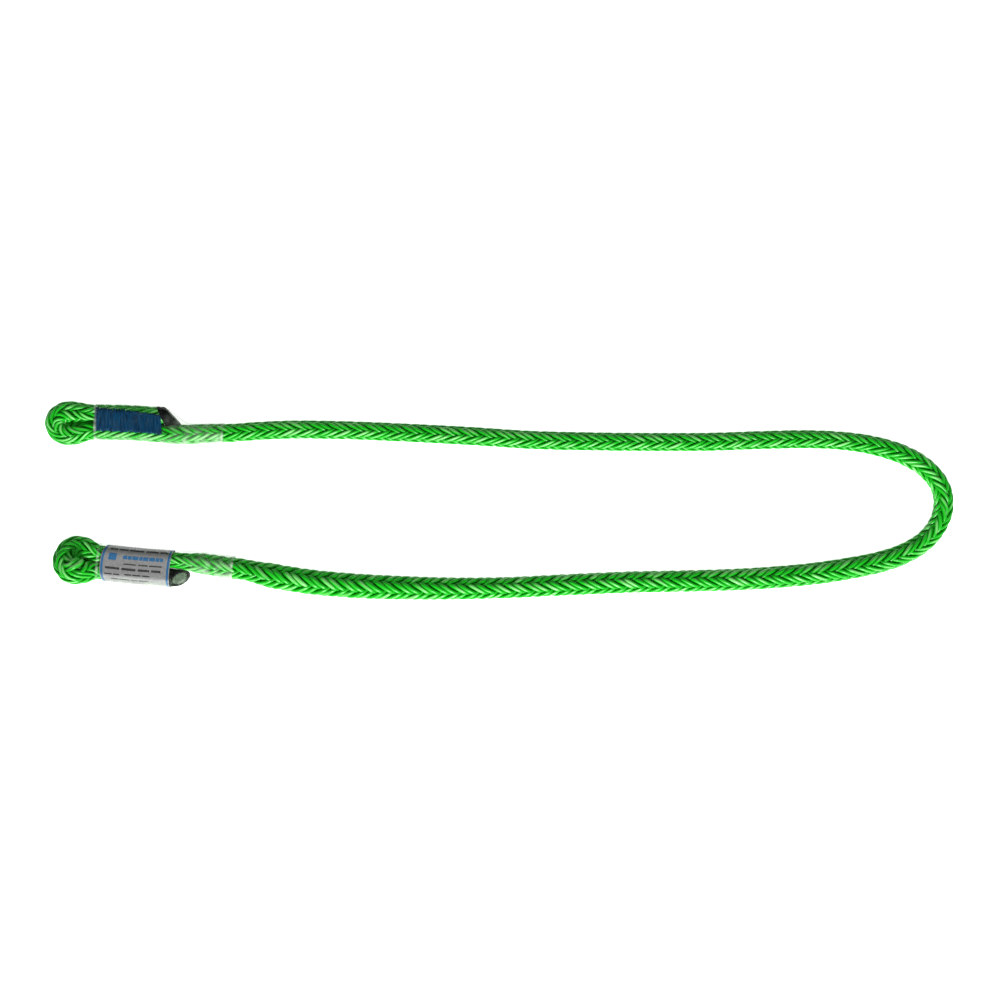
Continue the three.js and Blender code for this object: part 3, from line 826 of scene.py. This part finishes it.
def row_of_bars(u0, u1, a0, a1, words, seed):
    """Generic bars that stand for a line of small print."""
    variation = np.random.default_rng(seed)
    lengths = variation.uniform(0.6, 1.4, words)
    lengths *= (u1 - u0) / lengths.sum()
    found, place = [], u0
    for length in lengths:
        found.append((place, place + 0.86 * length, a0, a1))
        place += length
    return found


def label_pieces(film, blue, black):
    border = BORDER / (LABEL_TO - LABEL_FROM)
    edges = [
        (EDGE_INSET, border, -EDGE_WRAP, 1 + EDGE_WRAP),
        (1 - border, 1 - EDGE_INSET, -EDGE_WRAP, 1 + EDGE_WRAP),
    ]
    blue_bars = [
        *row_of_bars(0.11, 0.24, 0.27, 0.41, 1, 1),
        *row_of_bars(0.32, 0.90, 0.30, 0.37, 8, 2),
    ]
    dark_bars = [
        *row_of_bars(0.10, 0.96, 0.15, 0.19, 5, 3),
        *row_of_bars(0.34, 0.92, 0.46, 0.485, 3, 4),
        *row_of_bars(0.08, 0.90, 0.555, 0.60, 4, 5),
        *row_of_bars(0.07, 0.30, 0.69, 0.715, 2, 6),
        *row_of_bars(0.36, 0.74, 0.675, 0.70, 3, 7),
        *row_of_bars(0.16, 0.72, 0.79, 0.81, 4, 8),
    ]
    pieces = [
        (patches("label_film_b", [(0, 1, -FILM_WRAP, 1 + FILM_WRAP)], 0), film),
        (patches("label_edges_b", edges, EDGE_LIFT), blue),
        (patches("label_blue_bars_b", blue_bars, INK_LIFT), blue),
        (patches("label_dark_bars_b", dark_bars, INK_LIFT), black),
    ]
    for piece, material in pieces:
        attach(dress(piece, material, "label_film"), "end_b")
    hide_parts("film_label_b")


# ---- Floor and light ----


FLOOR_SIZE = 80
FLOOR_GAP = 0.3 * MM
WORLD_STRENGTH = 0.58
KEY_PLACE, KEY_SIZE, KEY_POWER = (0.05, -1.25, 0.85), 0.5, 68


def stage():
    bpy.ops.mesh.primitive_plane_add(size=FLOOR_SIZE, location=(0, 0, CAD_LOW.z - FLOOR_GAP))
    floor = bpy.context.object
    floor.name = "floor"
    paint, _, _ = principled(
        "floor", Base_Color=(0.9, 0.9, 0.9, 1), Roughness=0.9, Specular_IOR_Level=0.0,
        Emission_Color=(1, 1, 1, 1), Emission_Strength=0.8,
    )
    floor.data.materials.append(paint)


def area_light(name, place, size, power):
    data = bpy.data.lights.new(name, "AREA")
    data.size = size
    data.energy = power
    made = bpy.data.objects.new(name, data)
    made.location = place
    made.rotation_mode = "QUATERNION"
    made.rotation_quaternion = (-Vector(place)).to_track_quat("-Z", "Y")
    bpy.context.scene.collection.objects.link(made)


def lighting():
    world = bpy.data.worlds.new("studio")
    world.use_nodes = True
    background = world.node_tree.nodes["Background"]
    background.inputs["Color"].default_value = (1, 1, 1, 1)
    background.inputs["Strength"].default_value = WORLD_STRENGTH
    bpy.context.scene.world = world
    bpy.context.scene.view_settings.view_transform = "Standard"
    area_light("key", KEY_PLACE, KEY_SIZE, KEY_POWER)


green = braid_material()
navy = thread_material()
black_tape = tape_material()
rope_pieces(green)
for end in (END_A, END_B):
    body, letter = end["body"], end["name"]
    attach(dress(sewing(end, 1), navy, "thread", f"needle_thread_{letter}"), body)
    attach(dress(sewing(end, -1), navy, "thread", f"bobbin_thread_{letter}"), body)
    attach(dress(tape(end), black_tape, "tape", f"tail_tape_{letter}"), body)
    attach(dress(cut_end(end), cut_end_material(), "braid"), body)
    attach(dress(sleeve(end), sleeve_material(), "clear_film", f"shrink_sleeve_{letter}"), body)
silver_film = label_material()
blue_ink = ink_material("blue_ink", (0.0, 0.055, 0.14))
black_ink = ink_material("black_ink", (0.006, 0.006, 0.006))
label_pieces(silver_film, blue_ink, black_ink)
stage()
lighting()
